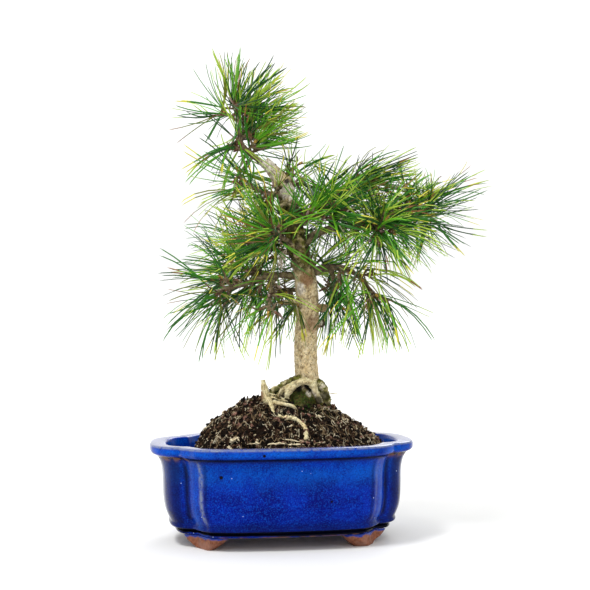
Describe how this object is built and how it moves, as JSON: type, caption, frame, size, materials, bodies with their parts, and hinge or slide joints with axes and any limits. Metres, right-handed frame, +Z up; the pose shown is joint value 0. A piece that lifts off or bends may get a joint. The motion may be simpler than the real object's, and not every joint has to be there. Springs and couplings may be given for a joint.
{
  "type": "pine bonsai in a pot",
  "caption": "Small pine bonsai with a leaning trunk, tapering boughs and tufts of long needles, in a blue glazed pot on clay feet.",
  "frame": {"origin": "middle of the whole plant's box, seen from above, at the level that the pot's feet stand on", "axes": "+Z up the plant, +X along the pot's length to the side the long right bough reaches, +Y from the pot's front to its back"},
  "size_m": [0.2702, 0.1924, 0.3783],
  "materials": {
    "pot_glaze": "gloss",
    "foot_clay": "matte",
    "soil": "matte",
    "trunk_bark": "matte",
    "bough_bark": "matte",
    "root_bark": "matte",
    "needles": "satin"
  },
  "bodies": {
    "root": {"bough_back_centre": "bough_bark", "bough_back_high_right": "bough_bark", "bough_back_low": "bough_bark", "bough_leader": "bough_bark", "bough_left_back": "bough_bark", "bough_left_low": "bough_bark", "bough_left_low_far": "bough_bark", "bough_left_low_inner": "bough_bark", "bough_left_mid": "bough_bark", "bough_right_back": "bough_bark", "bough_right_far": "bough_bark", "bough_right_front": "bough_bark", "bough_right_high": "bough_bark", "bough_right_inner": "bough_bark", "bough_right_low": "bough_bark", "bough_right_low_inner": "bough_bark", "bough_right_main": "bough_bark", "bough_right_tip": "bough_bark", "bough_upper_back": "bough_bark", "bough_upper_left": "bough_bark", "foot_back_left": "foot_clay", "foot_back_right": "foot_clay", "foot_front_left": "foot_clay", "foot_front_right": "foot_clay", "needles_apex": "needles", "needles_back_centre": "needles", "needles_back_high_right": "needles", "needles_back_low": "needles", "needles_leader": "needles", "needles_left_back": "needles", "needles_left_low": "needles", "needles_left_low_far": "needles", "needles_left_low_inner": "needles", "needles_left_mid": "needles", "needles_right_back": "needles", "needles_right_far": "needles", "needles_right_front": "needles", "needles_right_high": "needles", "needles_right_inner": "needles", "needles_right_low": "needles", "needles_right_low_inner": "needles", "needles_right_tip": "needles", "needles_trunk_tuft": "needles", "needles_upper_back": "needles", "needles_upper_left": "needles", "pot": "pot_glaze", "root_arch": "root_bark", "root_back": "root_bark", "root_left": "root_bark", "root_left_stub": "root_bark", "root_right": "root_bark", "root_runner": "root_bark", "soil": "soil", "trunk": "trunk_bark"}
  },
  "joints": []
}
